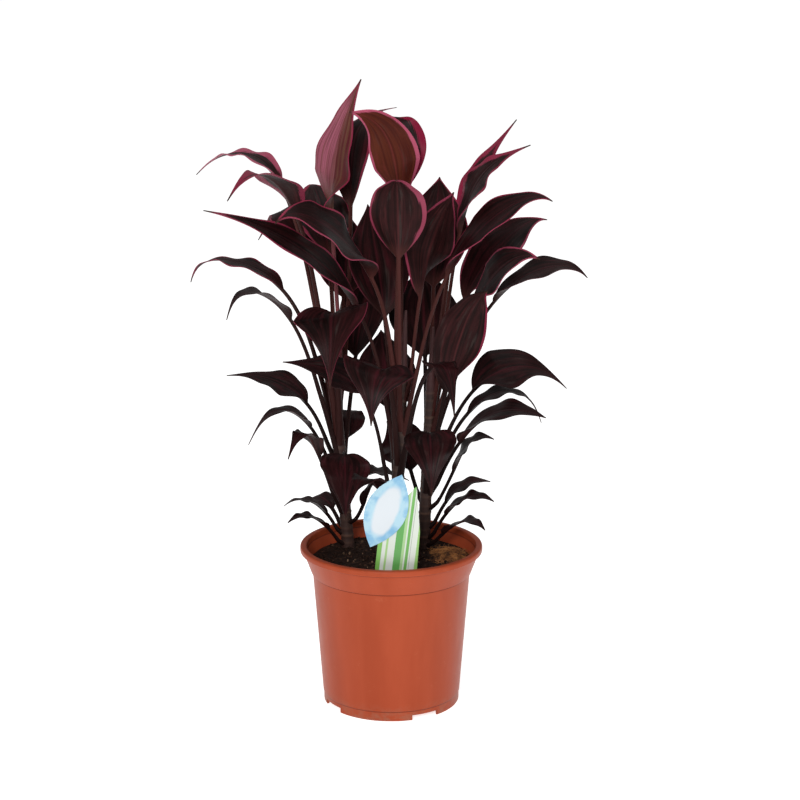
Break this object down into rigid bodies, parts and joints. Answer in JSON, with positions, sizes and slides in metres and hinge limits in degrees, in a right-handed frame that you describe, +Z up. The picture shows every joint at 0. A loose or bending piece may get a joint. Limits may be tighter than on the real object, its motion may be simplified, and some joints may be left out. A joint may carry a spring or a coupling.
{
  "type": "potted ti plant",
  "caption": "Potted foliage plant: upright canes with long-stalked, dark, pink-edged leaves, standing in soil in a tapered plastic nursery pot with a plain plant label.",
  "frame": {"origin": "middle of the pot's underside, on the surface that the pot stands on", "axes": "+Z up along the pot's axis; -Y is the side that shows the plant label; +X to the viewer's right"},
  "size_m": [0.3046, 0.1948, 0.4783],
  "materials": {
    "pot_plastic": "terracotta-coloured moulded plastic, semi-matte",
    "soil": "damp, dark, crumbly peat",
    "coir": "matted tan fibre",
    "cane_bark": "brown bark with leaf scars",
    "leaf_dark": "glossy brown-black leaf",
    "leaf_young": "glossy young leaf, pink and red-brown",
    "label_plastic": "thin white card with green stripes",
    "label_blue": "thin pale blue card with a white band"
  },
  "bodies": {
    "root": {"cane_centre": "cane_bark", "cane_left": "cane_bark", "cane_right": "cane_bark", "coir_tuft": "coir", "label_card": "label_plastic", "label_head": "label_blue", "leaf_centre_01": "leaf_dark", "leaf_centre_02": "leaf_dark", "leaf_centre_03": "leaf_dark", "leaf_centre_04": "leaf_dark", "leaf_centre_05": "leaf_dark", "leaf_centre_06": "leaf_dark", "leaf_centre_07": "leaf_dark", "leaf_centre_08": "leaf_young", "leaf_centre_09": "leaf_young", "leaf_centre_10": "leaf_young", "leaf_centre_11": "leaf_dark", "leaf_centre_12": "leaf_dark", "leaf_centre_13": "leaf_dark", "leaf_left_01": "leaf_dark", "leaf_left_02": "leaf_dark", "leaf_left_03": "leaf_dark", "leaf_left_04": "leaf_dark", "leaf_left_05": "leaf_dark", "leaf_left_06": "leaf_dark", "leaf_left_07": "leaf_dark", "leaf_left_08": "leaf_dark", "leaf_left_09": "leaf_dark", "leaf_left_10": "leaf_dark", "leaf_left_11": "leaf_dark", "leaf_left_12": "leaf_dark", "leaf_left_13": "leaf_dark", "leaf_left_14": "leaf_young", "leaf_left_15": "leaf_dark", "leaf_left_16": "leaf_dark", "leaf_left_17": "leaf_young", "leaf_left_18": "leaf_young", "leaf_left_19": "leaf_dark", "leaf_left_20": "leaf_dark", "leaf_left_21": "leaf_dark", "leaf_right_01": "leaf_dark", "leaf_right_02": "leaf_dark", "leaf_right_03": "leaf_dark", "leaf_right_04": "leaf_dark", "leaf_right_05": "leaf_dark", "leaf_right_06": "leaf_dark", "leaf_right_07": "leaf_dark", "leaf_right_08": "leaf_dark", "leaf_right_09": "leaf_dark", "leaf_right_10": "leaf_dark", "leaf_right_11": "leaf_dark", "leaf_right_12": "leaf_dark", "leaf_right_13": "leaf_young", "leaf_right_14": "leaf_young", "leaf_right_15": "leaf_dark", "leaf_right_16": "leaf_dark", "leaf_right_17": "leaf_dark", "pot": "pot_plastic", "soil": "soil"}
  },
  "joints": []
}
